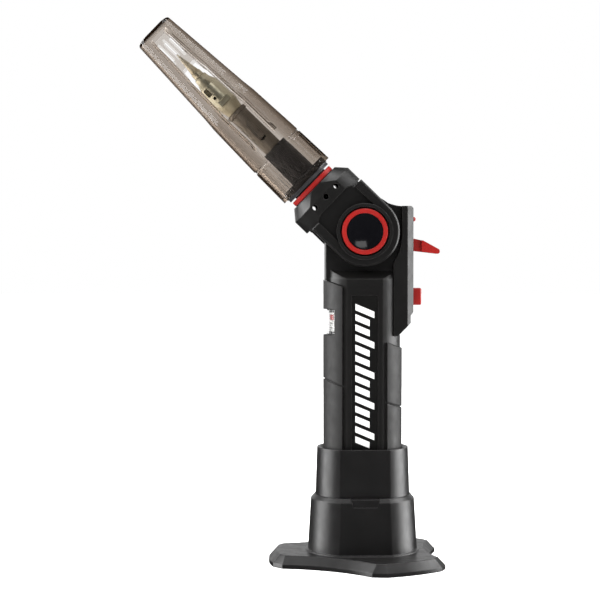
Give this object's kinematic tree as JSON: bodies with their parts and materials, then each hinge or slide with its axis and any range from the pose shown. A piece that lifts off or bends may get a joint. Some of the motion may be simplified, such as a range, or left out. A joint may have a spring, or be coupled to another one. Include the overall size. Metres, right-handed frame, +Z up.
{
  "type": "butane torch",
  "caption": "Butane torch and soldering iron with an indexing head, smoked cap over the tip, red lever, ignition button and lock pin, standing in its three-lobed foot.",
  "frame": {"origin": "on the floor under the handle's axis", "axes": "+Z up along the handle, +X towards the red controls, -Y towards the front panel"},
  "size_m": [0.1498, 0.094, 0.2707],
  "materials": {
    "moulded_black": "fine spark-eroded black moulding",
    "grip_black": "soft black grip with a fine pattern",
    "stand_black": "black moulding with a soft sheen",
    "panel_black": "satin black plate with a plain printed motif",
    "gloss_black": "polished black",
    "red_plastic": "satin red moulding",
    "window_clear": "clear plastic",
    "smoke_clear": "smoked clear plastic",
    "tank_nylon": "natural nylon",
    "brass": "turned brass",
    "steel": "stainless steel, heat tinted near the tip",
    "spring_steel": "spring wire",
    "tip_metal": "tinned and plated copper",
    "sleeve_black": "black coated metal",
    "seal_rubber": "nitrile rubber",
    "ceramic": "glazed alumina",
    "gauze": "catalyst-coated gauze",
    "lead_red": "insulated ignition lead",
    "silicone": "silicone tube"
  },
  "bodies": {
    "stand": {"stand_foot": "stand_black", "stand_collar": "stand_black"},
    "torch": {"body_shell_front": "moulded_black", "body_shell_rear": "moulded_black", "front_panel": "panel_black", "grip_left": "grip_black", "grip_right": "grip_black", "level_window": "window_clear", "control_housing": "moulded_black", "shell_screws": "steel", "piezo_unit": "tank_nylon", "fuel_tank": "tank_nylon", "tank_plug": "tank_nylon", "valve_body": "brass", "valve_spring": "spring_steel", "valve_seal": "seal_rubber", "gas_valve": "brass", "gas_tube": "brass", "ignition_lead": "lead_red", "pivot_axle": "steel", "pivot_seals": "seal_rubber", "index_wheel": "steel", "lock_spring": "spring_steel", "button_spring": "spring_steel"},
    "valve_stem": {"valve_stem": "brass"},
    "lever": {"flow_lever": "red_plastic", "valve_spindle": "brass"},
    "lock": {"lock_pin": "red_plastic"},
    "ignition": {"ignition_button": "red_plastic", "piezo_plunger": "tank_nylon"},
    "head": {"head_shell_front": "moulded_black", "head_shell_rear": "moulded_black", "head_screws": "steel", "pivot_ring": "red_plastic", "pawl_spring": "spring_steel", "pivot_cap": "gloss_black", "head_tube": "silicone", "head_lead": "lead_red", "jet_nozzle": "brass", "mixer_tube": "brass", "electrode": "ceramic", "neck_ring": "red_plastic", "neck_flange": "sleeve_black", "burner_sleeve": "sleeve_black", "burner_tube": "steel", "tip_ring": "steel", "catalyst": "gauze", "soldering_tip": "tip_metal"},
    "release": {"pivot_button": "gloss_black", "index_pawl": "steel"},
    "cap": {"protective_cap": "smoke_clear"}
  },
  "joints": [
    {"name": "torch_lift", "type": "slide", "parent": "stand", "child": "torch", "axis": [0, 0, 1], "range_m": [0, 0.055]},
    {"name": "head_tilt", "type": "hinge", "parent": "torch", "child": "head", "pos_m": [0, 0, 0.1646], "axis": [0, 1, 0], "range_deg": [-44, 46]},
    {"name": "cap_pull", "type": "slide", "parent": "head", "child": "cap", "axis": [-0.7193, 0, 0.6947], "range_m": [0, 0.11]},
    {"name": "release_press", "type": "slide", "parent": "head", "child": "release", "axis": [0, 1, 0], "range_m": [0, 0.0015], "stiffness_N_per_m": 1500, "springref_m": -0.001, "deforming": ["pawl_spring"]},
    {"name": "lever_turn", "type": "hinge", "parent": "torch", "child": "lever", "pos_m": [0.009, 0, 0.1584], "axis": [0, 0, 1], "range_deg": [-15, 15]},
    {"name": "lock_press", "type": "slide", "parent": "torch", "child": "lock", "axis": [-1, 0, 0], "range_m": [0, 0.0015], "stiffness_N_per_m": 800, "springref_m": -0.001, "deforming": ["lock_spring"]},
    {"name": "ignition_press", "type": "slide", "parent": "torch", "child": "ignition", "axis": [-1, 0, 0], "range_m": [0, 0.003], "stiffness_N_per_m": 1500, "springref_m": -0.001, "deforming": ["button_spring"]},
    {"name": "fill_press", "type": "slide", "parent": "torch", "child": "valve_stem", "axis": [0, 0, 1], "range_m": [0, 0.001], "stiffness_N_per_m": 800, "springref_m": -0.001, "deforming": ["valve_spring"]}
  ]
}
